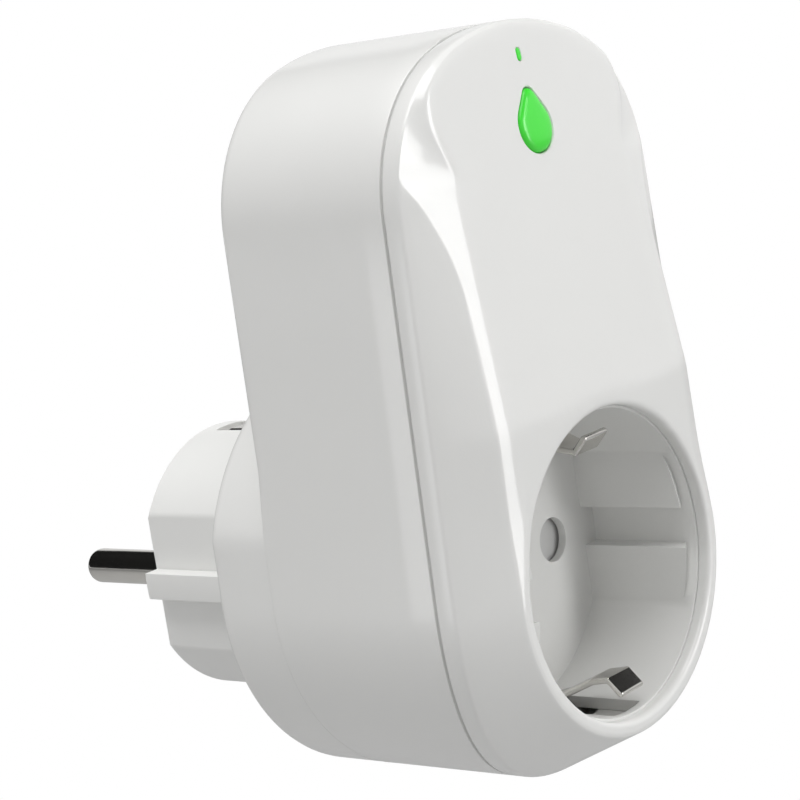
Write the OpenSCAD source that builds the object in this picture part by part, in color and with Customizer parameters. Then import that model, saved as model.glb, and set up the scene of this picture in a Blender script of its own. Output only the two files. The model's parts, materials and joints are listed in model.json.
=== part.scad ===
// Plug-in power meter with a switched socket: housing, plug, socket, safety shutter and electronics.
// Millimetres. The origin lies between the two pins on the plug's face; +Y runs out along the pins,
// the socket looks along -Y and +Z is up.

/* [Housing outline] */
// Radius of the lower round end, centred on the plug's axis
lower_r = 27; // [26:0.5:32]
// Half width of the housing at its upper corners
upper_half_w = 25.5; // [23:0.5:27]
// Height of the housing's top above the plug's axis
top_z = 67.3; // [64:0.5:90]
// Corner radius of the upper end
corner_r = 20; // [14:0.5:21]
// Radius of the flat arc across the top
top_arc_r = 38.5; // [34:0.5:60]
// Wall thickness of the housing
wall = 2; // [1.6:0.1:2.4]

/* [Housing depth] */
// Distance from the plug's face to the boss around the plug
plug_reach = 21.6; // [19:0.2:26]
// How far the boss stands out behind the upper body
boss_step = 9.6; // [6:0.2:12]
// Distance from the upper body's back to the seam
shell_depth = 25.8; // [24:0.2:34]
// Height of the front cover's straight side band
band_h = 2.4; // [1.5:0.1:3.5]
// Distance from the side band to the socket's rim
rim_rise = 5.95; // [4.5:0.1:9]
// Radius of the boss, cut flush with the housing's sides
boss_r = 28.3; // [26:0.1:32]
// Radius of the seam's backward bow below the axis
seam_bow_r = 60; // [50:1:200]
// Width of the groove along the seam
groove_w = 0.35; // [0.3:0.05:0.8]
// Depth of the groove along the seam
groove_d = 0.4; // [0.3:0.1:1]
// Width of the prying notch at the top of the seam
notch_w = 20; // [10:1:24]

/* [Front panel] */
// Backward lean of the front panel
panel_lean = 6.6; // [4:0.2:7]
// Bevel width beside the socket
bevel_low = 6.2; // [4:0.2:7]
// Bevel width above the socket
bevel_high = 8.2; // [6:0.2:9]
// Distance from the housing's side to the crease along the bevel
crease_in = 5.7; // [3:0.1:6]
// Tilt of the bevel's inner facet against the front
facet_tilt = 15.5; // [10:0.5:20]
// Height where the bevel begins to run out
bevel_end_z = 52; // [46:1:56]
// Height over which the bevel runs out
bevel_fade = 10; // [6:1:14]
// Height over which the crease runs out to the side
crease_fade = 16; // [10:1:20]

/* [Plug] */
// Radius of the plug
plug_r = 18.2; // [17.8:0.1:18.6]
// Half width across the plug's side flats
plug_flat = 15.9; // [15:0.1:16.4]
// Half height of the rib between the flats
rib_half = 1.8; // [1.4:0.1:2.2]
// Distance between the pins
pin_pitch = 19; // [18.8:0.1:19.2]
// Diameter of a pin
pin_d = 4.8; // [4:0.1:5]
// Length of a pin outside the plug
pin_len = 19; // [18:0.5:20]

/* [Socket] */
// Radius of the socket's recess
recess_r = 19.4; // [19.2:0.1:20.2]
// Depth of the socket's recess
recess_depth = 17.5; // [17:0.1:18]
// Half width between the recess's side pads
pad_flat = 16.4; // [16:0.1:16.8]
// Depth of the full round mouth in front of the pads
mouth_depth = 1.6; // [1.2:0.1:2.4]
// Wall thickness of the socket cup
cup_wall = 1.2; // [1:0.1:1.6]
// Diameter of a pin hole
pin_hole_d = 5.8; // [5.4:0.1:6.2]
// Opening turn of the shutter
shutter_turn = 40; // [38:1:44]

/* [Button and light] */
// Height of the button's centre
button_z = 55; // [50:0.5:58]
// Width of the button
button_w = 6.5; // [5:0.1:9]
// Height of the button
button_h = 7.9; // [6:0.1:10]
// Travel of the button
button_travel = 0.5; // [0.3:0.1:0.6]
// Height of the indicator slit above the button's centre
slit_rise = 8; // [7:0.1:9]
// Width of the indicator slit
slit_w = 0.8; // [0.7:0.1:1.4]
// Length of the indicator slit
slit_h = 1.6; // [1.4:0.1:3]

/* [Electronics] */
// Thickness of the power board
power_board_t = 1.6; // [1:0.2:2]
// Thickness of the control board
control_board_t = 1; // [0.8:0.2:1.2]
// Distance from the front panel to the control board
control_board_back = 6; // [5.8:0.1:6.4]
// Thickness of the copper bars and straps
strap_t = 0.8; // [0.6:0.1:1]
// Width of the earth straps
strap_w = 5; // [4:0.5:6]

/* [Hidden] */
$fn = 96;
small_fn = 32;
eps = 0.01;
fit_gap = 0.05;
// The top arc lies this far inside the corner arcs, so that they cross instead of only touching
crown_gap = 0.03;
seat_gap = 0.1;
// The cover's form runs this far behind the seam and past the bevel before it is cut
seam_spare = 2;
bevel_spare = 1.5;
// Depth and breadth of the prying notch
notch_d = wall + 0.4;
notch_t = 1;
// Least widths of the bevel and its outer facet, where they run out
bevel_least = 0.6;
crease_least = 0.25;
// Height over which the bevel widens above the axis, and over which its crease meets the side
bevel_spread = 12;
crease_blend = 2.5;

// Planes across the plug's axis
boss_y = -plug_reach;
back_y = boss_y - boss_step;
seam_y = back_y - shell_depth;
band_y = seam_y - band_h;
rim_y = band_y - rim_rise;
floor_y = rim_y + recess_depth;
floor_t = 1.2;
cup_back_y = floor_y + floor_t;
front_limit = 12;

// Housing outline
corner_x = upper_half_w - corner_r;
top_c = top_z - top_arc_r;
corner_z = top_c + sqrt(pow(top_arc_r - corner_r, 2) - pow(corner_x, 2));
side_a = atan2(corner_z, corner_x) - acos((lower_r - corner_r) / norm([corner_x, corner_z]));
top_a = atan2(corner_z - top_c, corner_x);

// Front panel: it leans back from the top of the socket's rim
cup_r = recess_r + cup_wall;
cup_front_y = rim_y + mouth_depth + fit_gap;
panel_foot_z = cup_r;
function panel_y(z) = rim_y + tan(panel_lean) * (z - panel_foot_z);
function front_y(z) = max(rim_y, panel_y(z));

// Shutter and contacts
shutter_t = 1.6;
shutter_gap = 0.35;
shutter_front_y = cup_back_y + shutter_gap;
shutter_back_y = shutter_front_y + shutter_t;
carrier_front_y = shutter_back_y + shutter_gap;
carrier_len = 12.5;
carrier_back_y = carrier_front_y + carrier_len;
post_r = 2;
post_seat = 0.6;
lobe_r = 3.45;
contact_r = 3.1;
contact_wall = 0.6;
bar_y = carrier_back_y + 2;
pin_r = pin_d / 2;
// The pin is this much slimmer where it sits in the plug, and the recess behind its mouth
root_step = 0.2;
mouth_step = 0.3;
collar_r = pin_r + 0.8;
collar_y = -14;
collar_t = 2;
tail_r = 1.5;
plug_flange_r = plug_r + 2.6;
plug_flange_t = 2.4;
plug_back_y = boss_y - wall - seat_gap - plug_flange_t;
screw_r = 1.3;
screw_x = plug_r + 1.9;
board_screw_z = button_z - 15;
board_screw_x = 11.5;

// Earth straps: side view (Y, Z) from the plug's clip to the socket's contact finger
clip_floor = plug_r - 2.8;
strap_z = cup_r + 1;
strap_path = [
    [-3, clip_floor - 1],
    [-3, plug_r - 1.4],
    [-5, plug_r - 0.5],
    [-9, plug_r - 0.5],
    [-14, clip_floor + 0.6],
    [boss_y - wall - 1, clip_floor + 0.6],
    [plug_back_y - 1.5, clip_floor + 0.6],
    [plug_back_y - 3, strap_z],
    [cup_back_y - 3, strap_z],
    [floor_y - 1.5, recess_r - 0.6],
    [floor_y - 5, recess_r - 1.6],
    [rim_y + 6, recess_r - 4.5],
    [rim_y + 3.5, recess_r - 4.9],
    [rim_y + 1.9, recess_r - 3.2]
];

// Boards
power_board_y = back_y - wall - 2;
power_front_y = power_board_y - power_board_t;
power_low_z = cup_r + 1.9;
power_high_z = top_z - wall - 5.5;
power_half_w = upper_half_w - wall - 3;
control_low_z = button_z - 19;
control_high_z = button_z + 8.8;
control_half_w = 15;
relay_x = 6.2;
relay_z = power_low_z + 17.5;
board_face = control_board_back + control_board_t;
led_top = control_board_back - 0.8;
switch_h = 2.2;
switch_top = control_board_back - switch_h;
plunger_h = 0.9;

// Copper bars
bar_w = 5;
load_x = pin_pitch / 2 + contact_r;
load_y = carrier_front_y + 3;

// ---- helpers ----

// Extrudes a front-view outline from one Y plane forward to another
module slab(y_back, y_front) {
    translate([0, y_back, 0]) rotate([90, 0, 0]) linear_extrude(y_back - y_front) children();
}

// Extrudes a side-view outline (Y, Z) across the housing
module across(w, x = 0) {
    translate([x - w / 2, 0, 0]) rotate([90, 0, 90]) linear_extrude(w) children();
}

// Round bar along Y
module rod(r, y_back, y_front, x = 0, z = 0, sides = 64) {
    translate([x, y_back, z]) rotate([90, 0, 0]) cylinder(r = r, h = y_back - y_front, $fn = sides);
}

// Box from two corners
module block(low, high) {
    translate(low) cube(high - low);
}

// Bent metal strip through a list of points
module strip(points, t) {
    for (k = [0:len(points) - 2]) {
        step = points[k + 1] - points[k];
        translate(points[k]) rotate(atan2(step[1], step[0])) translate([0, -t / 2]) square([norm(step), t]);
    }
    for (p = points) translate(p) circle(t / 2, $fn = small_fn);
}

// Frame on the front panel: its Y axis points inwards, square to the panel
module on_panel(z) {
    translate([0, panel_y(z), z]) rotate([-panel_lean, 0, 0]) children();
}

// ---- housing outline ----

module outline(inset = 0) {
    arm = [cos(side_a), sin(side_a)];
    crown = [cos(top_a), sin(top_a)];
    low = (lower_r - inset) * arm;
    high = [corner_x, corner_z] + (corner_r - inset) * arm;
    crown_r = top_arc_r - inset - crown_gap;
    top = [0, top_c] + (crown_r - crown_gap) * crown;
    far = 2 * top_arc_r * crown;
    circle(lower_r - inset);
    for (s = [-1, 1]) translate([s * corner_x, corner_z]) circle(corner_r - inset);
    polygon([low, high, top, [-top[0], top[1]], [-high[0], high[1]], [-low[0], low[1]]]);
    intersection() {
        translate([0, top_c]) circle(crown_r);
        polygon([[0, top_c], [far[0], top_c + far[1]], [-far[0], top_c + far[1]]]);
    }
}

// Side view of all that lies behind a seam line through y
module behind_seam(y) {
    reach = 60;
    translate([y, 0]) square([reach, top_z + 10]);
    intersection() {
        translate([y + seam_bow_r, 0]) circle(seam_bow_r, $fn = 180);
        translate([y, -lower_r - 10]) square([reach, lower_r + 10]);
    }
}

// Rim points as [x, z, normal x, normal z], once round the outline
function arc(c, r, a0, a1, n) = [for (k = [0:n - 1]) let (a = a0 + (a1 - a0) * k / n)
    [c[0] + r * cos(a), c[1] + r * sin(a), cos(a), sin(a)]];
function side(p, q, a, n) = [for (k = [0:n - 1]) let (p0 = p + (q - p) * k / n)
    [p0[0], p0[1], cos(a), sin(a)]];
function side_points(s) = [
    [s * lower_r * cos(side_a), lower_r * sin(side_a)],
    [s * (corner_x + corner_r * cos(side_a)), corner_z + corner_r * sin(side_a)]
];
rim_points = concat(
    arc([0, 0], lower_r, 180 - side_a, 360 + side_a, 56),
    side(side_points(1)[0], side_points(1)[1], side_a, 14),
    arc([corner_x, corner_z], corner_r, side_a, top_a, 18),
    arc([0, top_c], top_arc_r, top_a, 180 - top_a, 12),
    arc([-corner_x, corner_z], corner_r, 180 - top_a, 180 - side_a, 18),
    side(side_points(-1)[1], side_points(-1)[0], 180 - side_a, 14)
);

function smooth(t) = let (u = min(1, max(0, t))) u * u * (3 - 2 * u);
function seam_bow(z) = z >= 0 ? 0 : seam_bow_r - sqrt(seam_bow_r * seam_bow_r - z * z);
// Width of the whole bevel, and of its outer facet up to the crease
function bevel(z) = let (span = bevel_low + (bevel_high - bevel_low) * smooth(z / bevel_spread))
    bevel_least + (span - bevel_least) * (1 - smooth((z - bevel_end_z) / bevel_fade));
function crease(z) = let (t = max(0, z - bevel_end_z + crease_fade) / crease_fade)
    max(crease_least, crease_in * (1 - t * t));

// Rise of the whole bevel, and slope of its inner facet, which takes over the whole bevel at its upper end
function rise(z) = band_y + seam_bow(z) - front_y(z);
function facet_slope(z) = let (share = smooth((z - bevel_end_z) / crease_blend + 1))
    tan(facet_tilt) + share * (rise(z) / bevel(z) - tan(facet_tilt));

// Rings of the cover's skin: a distance in from the outline, and its Y as a function of height
function ring(inset, y_at) = [for (p = rim_points)
    let (d = inset(p[1])) [p[0] - d * p[2], y_at(p[1]), p[1] - d * p[3]]];
// The cover's outer form: straight band, then the creased bevel that runs out towards the top
module cover_form() {
    n = len(rim_points);
    rings = [
        ring(function (z) 0, function (z) seam_y + seam_bow(z) + seam_spare),
        ring(function (z) 0, function (z) band_y + seam_bow(z)),
        ring(function (z) crease(z), function (z) front_y(z) + facet_slope(z) * (bevel(z) - crease(z))),
        ring(function (z) bevel(z) + bevel_spare, function (z) front_y(z) - facet_slope(z) * bevel_spare)
    ];
    middle = [0, rim_y - front_limit, corner_z / 2];
    back_middle = [0, seam_y + seam_spare, corner_z / 2];
    points = concat([for (ring = rings) each ring], [middle, back_middle]);
    last = len(rings) - 1;
    walls = [for (r = [0:len(rings) - 2], k = [0:n - 1]) each [
        [r * n + k, (r + 1) * n + k, (r + 1) * n + (k + 1) % n],
        [r * n + k, (r + 1) * n + (k + 1) % n, r * n + (k + 1) % n]]];
    front_fan = [for (k = [0:n - 1]) [last * n + k, len(points) - 2, last * n + (k + 1) % n]];
    back_fan = [for (k = [0:n - 1]) [k, (k + 1) % n, len(points) - 1]];
    polyhedron(points, concat(walls, front_fan, back_fan));
}

// Everything behind the front panel and the socket's rim, moved inwards by depth
module behind_front(depth = 0) {
    big = 200;
    intersection() {
        translate([-big / 2, rim_y + depth, -big / 2]) cube([big, big, big]);
        translate([0, rim_y, panel_foot_z]) rotate([-panel_lean, 0, 0])
            translate([-big / 2, depth, -big]) cube([big, big, 2 * big]);
    }
}

// ---- housing ----

module rear_shell() {
    color("whitesmoke") difference() {
        union() {
            intersection() {
                slab(back_y, seam_y - 1) outline();
                across(80) behind_seam(seam_y + groove_w);
            }
            intersection() {
                slab(back_y, seam_y - 1) outline(groove_d);
                across(80) behind_seam(seam_y);
            }
            slab(boss_y, back_y - 1) intersection() {
                outline();
                circle(boss_r);
            }
        }
        slab(back_y - wall, seam_y - 2) outline(wall);
        slab(boss_y - wall, back_y - wall - 1) intersection() {
            outline(wall);
            circle(boss_r - wall);
        }
        slab(boss_y + 1, boss_y - wall - 1) circle(plug_r + 0.15);
        block([-notch_w / 2, seam_y - 1, top_z - notch_d], [notch_w / 2, seam_y + notch_t, top_z + 1]);
        for (s = [-1, 1]) rod(screw_r + 0.2, boss_y + 1, boss_y - wall - 1, s * screw_x, 0, small_fn);
    }
}

// Front view of the room between the bevels
module front_room() {
    room_w = 2 * (upper_half_w - bevel_high - 1.5);
    outline(bevel_high + 1.5);
    intersection() {
        outline(wall + 1);
        translate([-room_w / 2, 0]) square([room_w, top_z]);
    }
}

module front_cover() {
    color("whitesmoke") difference() {
        union() {
            difference() {
                intersection() {
                    cover_form();
                    behind_front();
                }
                across(80) behind_seam(seam_y);
                slab(seam_y + seam_bow(-lower_r) + seam_spare + 1, band_y + 1) outline(wall);
                intersection() {
                    slab(band_y + 2, rim_y) front_room();
                    behind_front(wall);
                }
            }
            rod(cup_r + 1.6, seam_y + 1, rim_y + wall / 2);
            for (s = [-1, 1]) on_panel(board_screw_z)
                rod(2, control_board_back - fit_gap, wall - 0.5, s * board_screw_x);
        }
        rod(cup_r + fit_gap, seam_y + 2, rim_y + mouth_depth);
        rod(recess_r, seam_y, rim_y - 1, 0, 0, 128);
        on_panel(button_z) slab(wall + 1, -1) egg(button_w + 0.3, button_h + 0.3);
        on_panel(button_z + slit_rise) slab(wall + 1, -1) slot(slit_w + 0.1, slit_h + 0.1);
        on_panel(button_z + slit_rise) slab(led_top, wall) slot(slit_w + 1.4, slit_h + 1.4);
        for (s = [-1, 1]) on_panel(board_screw_z)
            rod(0.85, control_board_back + 1, wall + 0.4, s * board_screw_x, 0, small_fn);
    }
}

// ---- plug ----

module plug_outline() {
    flat_w = 10;
    flat_h = 20;
    difference() {
        circle(plug_r);
        for (sx = [-1, 1], sz = [-1, 1])
            translate([sx * (plug_flat + flat_w / 2), sz * (rib_half + flat_h / 2)])
                square([flat_w, flat_h], center = true);
    }
}

module plug_body() {
    color("whitesmoke") difference() {
        union() {
            slab(0, boss_y - wall - 1) plug_outline();
            slab(boss_y - wall - seat_gap, plug_back_y) circle(plug_flange_r);
            for (s = [-1, 1]) rod(3, boss_y - wall - seat_gap, plug_back_y, s * screw_x);
        }
        for (s = [-1, 1]) {
            rod(pin_r + fit_gap, 1, plug_back_y - 1, s * pin_pitch / 2);
            rod(collar_r + fit_gap, collar_y, plug_back_y - 1, s * pin_pitch / 2);
            rod(0.95, plug_back_y + 20, plug_back_y - 1, s * screw_x, 0, small_fn);
            block([-strap_w / 2 - 0.3, boss_y - wall - 6, s > 0 ? clip_floor : -plug_r - 4],
                [strap_w / 2 + 0.3, -2.5, s > 0 ? plug_r + 4 : -clip_floor]);
            block([-strap_w / 2 - 0.3, -3.5, s > 0 ? clip_floor - 2 : -clip_floor],
                [strap_w / 2 + 0.3, -2.5, s > 0 ? clip_floor : -clip_floor + 2]);
        }
        rod(6, -8, plug_back_y - 1);
    }
}

module plug_pin(s) {
    tip_r = 1.6;
    color("silver") translate([s * pin_pitch / 2, 0, 0]) rotate([-90, 0, 0]) rotate_extrude() {
        square([pin_r, pin_len - tip_r]);
        translate([0, collar_y]) square([pin_r - root_step, -collar_y + eps]);
        square([pin_r - tip_r, pin_len]);
        translate([pin_r - tip_r, pin_len - tip_r]) intersection() {
            circle(tip_r, $fn = 64);
            square(tip_r);
        }
        translate([0, collar_y - collar_t]) square([collar_r, collar_t]);
        translate([0, bar_y + strap_t]) square([tail_r, collar_y - collar_t - bar_y - strap_t + eps]);
    }
}

module live_pin() {
    plug_pin(1);
}

module neutral_pin() {
    plug_pin(-1);
}

// Both straps have the same side view; the lower one is mirrored
module earth_strap(s) {
    color("silver") mirror([0, 0, s > 0 ? 0 : 1]) across(strap_w) strip(strap_path, strap_t);
}

module upper_earth_strap() {
    earth_strap(1);
}

module lower_earth_strap() {
    earth_strap(-1);
}

// Half ring that joins both earth straps behind the contact carrier
module earth_link() {
    link_y = bar_y - power_board_y > 3 ? power_board_y + 1.2 : bar_y + strap_t + 1.2;
    link_r = strap_z - strap_t / 2 - 0.02;
    link_w = 3.2;
    color("goldenrod") slab(link_y, link_y - strap_t) difference() {
        circle(link_r);
        circle(link_r - link_w);
        translate([-2 * link_r, -link_r - 1]) square([2 * link_r, 2 * link_r + 2]);
    }
}

// ---- socket ----

module pin_holes(d) {
    for (s = [-1, 1]) translate([s * pin_pitch / 2, 0]) circle(d / 2, $fn = 64);
}

module socket_cup() {
    slot_w = strap_w + 1;
    slot_bridge = 1.2;
    inner_r = recess_r - mouth_step;
    // The pads' front ends lie this much deeper at the wall than at their middle
    pad_lean = 1.7;
    color("whitesmoke") difference() {
        rod(cup_r, cup_back_y, cup_front_y, 0, 0, 128);
        slab(floor_y, cup_front_y - 1) intersection() {
            circle(inner_r, $fn = 128);
            union() {
                square([2 * pad_flat, 50], center = true);
                square([50, 2 * rib_half + 1.6], center = true);
            }
        }
        translate([0, cup_front_y, 0]) rotate([-90, 0, 0]) rotate_extrude($fn = 128)
            polygon([[pad_flat, -1], [inner_r, -1], [inner_r, pad_lean], [pad_flat, 0]]);
        slab(cup_back_y + 1, floor_y - 1) pin_holes(pin_hole_d);
        slab(cup_back_y + 1, cup_back_y - post_seat) circle(post_r + fit_gap, $fn = 64);
        for (s = [-1, 1]) block([-slot_w / 2, cup_front_y + slot_bridge, s > 0 ? recess_r - 2 : -cup_r - 2],
            [slot_w / 2, cup_back_y + 1, s > 0 ? cup_r + 2 : -recess_r + 2]);
        for (s = [-1, 1]) block([-slot_w / 2, floor_y - 1, s > 0 ? recess_r - 4.5 : -cup_r - 2],
            [slot_w / 2, cup_back_y + 1, s > 0 ? cup_r + 2 : -recess_r + 4.5]);
    }
}

// Two-armed safety shutter that turns on the carrier's post and covers both pin holes
module shutter() {
    color("lightgray") slab(shutter_back_y, shutter_front_y) difference() {
        union() {
            for (s = [-1, 1]) translate([s * pin_pitch / 2, 0]) circle(lobe_r, $fn = 64);
            square([pin_pitch, 3.6], center = true);
            circle(4.2, $fn = 64);
        }
        circle(post_r + 0.06, $fn = 64);
    }
}

// Closed coil of the shutter's return spring in its pocket on the carrier's post
module shutter_spring() {
    wire = 0.5;
    turns = 3;
    color("silver") for (k = [0:turns - 1])
        translate([0, carrier_front_y + 0.35 + wire * (k + 0.5), 0]) rotate([90, 0, 0])
            rotate_extrude() translate([post_r + 0.25 + wire / 2, 0]) circle(wire / 2 - 0.01, $fn = 24);
}

// Block that holds the contacts; four spacers outside the shutter's sweep hold it off the cup
module contact_carrier() {
    half_w = 15;
    half_h = 8.5;
    spacer_r = 1.4;
    spacer_x = 13.5;
    spacer_z = 7;
    color("dimgray") difference() {
        union() {
            slab(carrier_back_y, carrier_front_y) square([2 * half_w, 2 * half_h], center = true);
            rod(post_r, carrier_front_y + 3, cup_back_y - post_seat + seat_gap, 0, 0, 64);
            for (sx = [-1, 1], sz = [-1, 1])
                rod(spacer_r, carrier_front_y + 1, cup_back_y + fit_gap,
                    sx * spacer_x, sz * spacer_z, small_fn);
        }
        slab(carrier_front_y + 2, carrier_front_y - eps) difference() {
            circle(post_r + 1);
            circle(post_r);
        }
        for (s = [-1, 1])
            rod(contact_r + fit_gap, carrier_back_y + 1, carrier_front_y - 1, s * pin_pitch / 2);
        load_slot();
    }
}

// Split sleeve that grips an inserted pin
module pin_contact(s) {
    inner = contact_r - contact_wall;
    y_front = carrier_front_y + 0.8;
    color("goldenrod") translate([s * pin_pitch / 2, 0, 0]) {
        slab(carrier_back_y, y_front) difference() {
            circle(contact_r, $fn = 64);
            circle(inner, $fn = 64);
            translate([-s * contact_r, 0]) square([2 * contact_r, 0.8], center = true);
        }
        slab(carrier_back_y + 0.8, carrier_back_y) circle(contact_r, $fn = 64);
    }
}

module live_contact() {
    pin_contact(1);
}

module neutral_contact() {
    pin_contact(-1);
}

// ---- copper bars ----

// Slot in the carrier for the load bar
module load_slot() {
    block([load_x - 0.2, load_y - 0.2, -3.2], [load_x + strap_t + 0.3, load_y + 4.2, 20]);
}

module live_bar() {
    mid = bar_y + strap_t / 2;
    color("goldenrod") {
        across(bar_w, pin_pitch / 2) strip([[mid, -3], [mid, power_low_z - 3],
            [power_board_y + strap_t / 2 + 0.1, power_low_z + 0.5],
            [power_board_y + strap_t / 2 + 0.1, power_low_z + 3]], strap_t);
    }
}

module load_bar() {
    back = power_front_y - 0.02;
    color("goldenrod") translate([load_x + 0.02, 0, 0]) {
        block([0, load_y, -3], [strap_t, load_y + 4, power_low_z - 4]);
        block([0, load_y, power_low_z - 6], [strap_t, back, power_low_z - 2]);
        block([0, back - 4, power_low_z - 6], [strap_t, back, power_low_z + 4]);
    }
}

module neutral_bar() {
    color("goldenrod") across(bar_w, -pin_pitch / 2) {
        translate([carrier_back_y + 0.82, -3]) square([bar_y - carrier_back_y - 0.84 + strap_t, 6]);
    }
}

module neutral_tap() {
    mid = bar_y + strap_t / 2;
    color("goldenrod") across(bar_w - 2, -pin_pitch / 2) strip([[mid, 3.6], [mid, power_low_z - 3],
        [power_board_y + strap_t / 2 + 0.1, power_low_z + 0.5],
        [power_board_y + strap_t / 2 + 0.1, power_low_z + 3]], strap_t);
}

// ---- button and light ----

// Egg outline, pointed end up, w wide and h high about its centre
module egg(w, h) {
    low_r = w / 2;
    tip_r = w / 5;
    span = h - low_r - tip_r;
    a = asin((low_r - tip_r) / span);
    base = low_r - h / 2;
    translate([0, base]) {
        circle(low_r, $fn = 64);
        translate([0, span]) circle(tip_r, $fn = 64);
        polygon([[low_r * cos(a), low_r * sin(a)], [tip_r * cos(a), span + tip_r * sin(a)],
            [-tip_r * cos(a), span + tip_r * sin(a)], [-low_r * cos(a), low_r * sin(a)]]);
    }
}

module slot(w, h) {
    square([w, h - w], center = true);
    for (s = [-1, 1]) translate([0, s * (h - w) / 2]) circle(w / 2, $fn = 24);
}

module button() {
    color("limegreen") on_panel(button_z) {
        slab(wall + 0.15, -0.35) egg(button_w, button_h);
        slab(wall + 0.85, wall + 0.15) egg(button_w + 1.6, button_h + 1.6);
        rod(1.1, switch_top - plunger_h - 0.02, wall + 0.8, 0, 0, small_fn);
    }
}

module switch_plunger() {
    color("dimgray") on_panel(button_z) rod(1.5, switch_top, switch_top - plunger_h, 0, 0, small_fn);
}

module tactile_switch() {
    half = 2.6;
    color("gray") on_panel(button_z) difference() {
        union() {
            block([-half, switch_top, -half], [half, control_board_back, half]);
            for (s = [-1, 1], t = [-1, 1]) block([s * 3.2 - 0.6, control_board_back - 0.3, t * 1.8 - 0.4],
                [s * 3.2 + 0.6, control_board_back, t * 1.8 + 0.4]);
        }
        rod(1.58, switch_top + 1.2, switch_top - 1, 0, 0, small_fn);
    }
}

module indicator_light_guide() {
    color("palegreen") on_panel(button_z + slit_rise) {
        slab(wall + 0.02, 0) slot(slit_w, slit_h);
        slab(led_top - 0.1, wall + 0.02) slot(slit_w + 1.2, slit_h + 1.2);
    }
}

module small_led() {
    block([-0.8, led_top, -0.6], [0.8, control_board_back, 0.6]);
}

module indicator_led() {
    color("palegreen") on_panel(button_z + slit_rise) translate([0, 0, -0.6]) small_led();
}

module button_led() {
    color("palegreen") on_panel(button_z) for (s = [-1, 1]) translate([s * 5.4, 0, -1.2]) small_led();
}

// ---- control board ----

module control_board() {
    color("darkgreen") on_panel(button_z) difference() {
        slab(control_board_back + control_board_t, control_board_back) difference() {
            translate([-control_half_w, control_low_z - button_z])
                square([2 * control_half_w, control_high_z - control_low_z]);
            for (s = [-1, 1]) translate([s * control_half_w, control_high_z - button_z]) rotate(45)
                square(12, center = true);
        }
        for (s = [-1, 1]) rod(1.2, 20, 0, s * board_screw_x, board_screw_z - button_z, small_fn);
    }
}

module radio_module() {
    color("midnightblue") on_panel(button_z) {
        block([-8, board_face + 0.02, -13], [8, board_face + 0.82, 5]);
        for (k = [0:5], s = [-1, 1]) translate([s * 8, board_face, -11.5 + k * 2])
            block([-0.3, 0.02, 0], [0.3, 0.9, 1]);
    }
}

module radio_shield() {
    color("silver") on_panel(button_z) difference() {
        block([-6.2, board_face + 0.84, -12], [6.2, board_face + 2.6, -1]);
        block([-5.9, board_face + 0.5, -11.7], [5.9, board_face + 2.3, -1.3]);
    }
}

module small_chips() {
    color("darkslategray") on_panel(button_z) {
        for (k = [0:4]) translate([-9 + 3.6 * k, control_board_back, -9.5])
            block([0, -0.7, 0], [1.6, 0, 0.8]);
        for (k = [0:3]) translate([-6.8 + 3.6 * k, control_board_back, -12.6])
            block([0, -0.7, 0], [1.6, 0, 0.8]);
        block([-2.5, control_board_back - 1, -18], [2.5, control_board_back, -14.5]);
    }
}

module board_header() {
    pitch = 2.54;
    pins = 3;
    x0 = -5;
    z0 = control_low_z + 2.15;
    y_front = panel_y(z0) + board_face + 0.25;
    half = pins / 2 * pitch;
    color("black") translate([x0, y_front, z0])
        block([-half, 0, -pitch / 2], [half, 2.5, pitch / 2]);
    color("gold") for (k = [0:pins - 1]) translate([x0 + (k - (pins - 1) / 2) * pitch, 0, z0])
        block([-0.32, y_front, -0.32], [0.32, power_front_y - 0.02, 0.32]);
}

// ---- power board ----

module power_board() {
    color("darkgreen") difference() {
        slab(power_board_y, power_front_y) intersection() {
            translate([-power_half_w, power_low_z]) square([2 * power_half_w, power_high_z - power_low_z]);
            outline(wall + 1);
        }
        for (s = [-1, 1]) rod(1.6, 0, -100, s * (power_half_w - 4.5), power_high_z - 16, small_fn);
    }
}

// Anything standing on the power board: x and z of its centre
module on_power(x, z) {
    translate([x, power_front_y - 0.02, z]) children();
}

module relay() {
    color("dodgerblue") on_power(relay_x, relay_z) difference() {
        block([-6.3, -14.2, -14.5], [6.3, -0.3, 14.5]);
        for (s = [-1, 1]) block([s * 6.3 - 0.3, -15, -16], [s * 6.3 + 0.3, -12.8, 16]);
        block([-2, -15, -2], [2, -14, 2]);
    }
    color("silver") on_power(relay_x, relay_z) for (z = [-12, -4.5, 10], x = [-3.8, 3.8])
        block([x - 0.4, -0.3, z - 0.5], [x + 0.4, 0, z + 0.5]);
}

module filter_capacitor() {
    color("khaki") on_power(16.4, power_low_z + 12.5) {
        block([-3.2, -13, -8], [3.2, -0.6, 8]);
        for (s = [-1, 1]) rod(0.4, 0, -0.8, 0, s * 6, 16);
    }
}

module supply_capacitors() {
    color("darkslateblue") for (z = [13, 24]) on_power(-15.4, power_low_z + z)
        rotate([90, 0, 0]) rotate_extrude() polygon([
            [0, 0], [3.6, 0], [4.2, 0.6], [4.2, 1.6], [3.9, 2],
            [3.9, 2.4], [4.2, 2.8], [4.2, 11.8], [3.8, 12.2], [0, 12]]);
}

module varistor() {
    color("royalblue") on_power(16, power_low_z + 26.4) {
        translate([0, -7, 0]) rotate([0, 90, 0]) intersection() {
            cylinder(r = 4.4, h = 3.6, center = true);
            sphere(r = 4.6);
        }
        for (s = [-1, 1]) rod(0.4, 0, -3.2, 0, s * 2.2, 16);
    }
}

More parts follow.
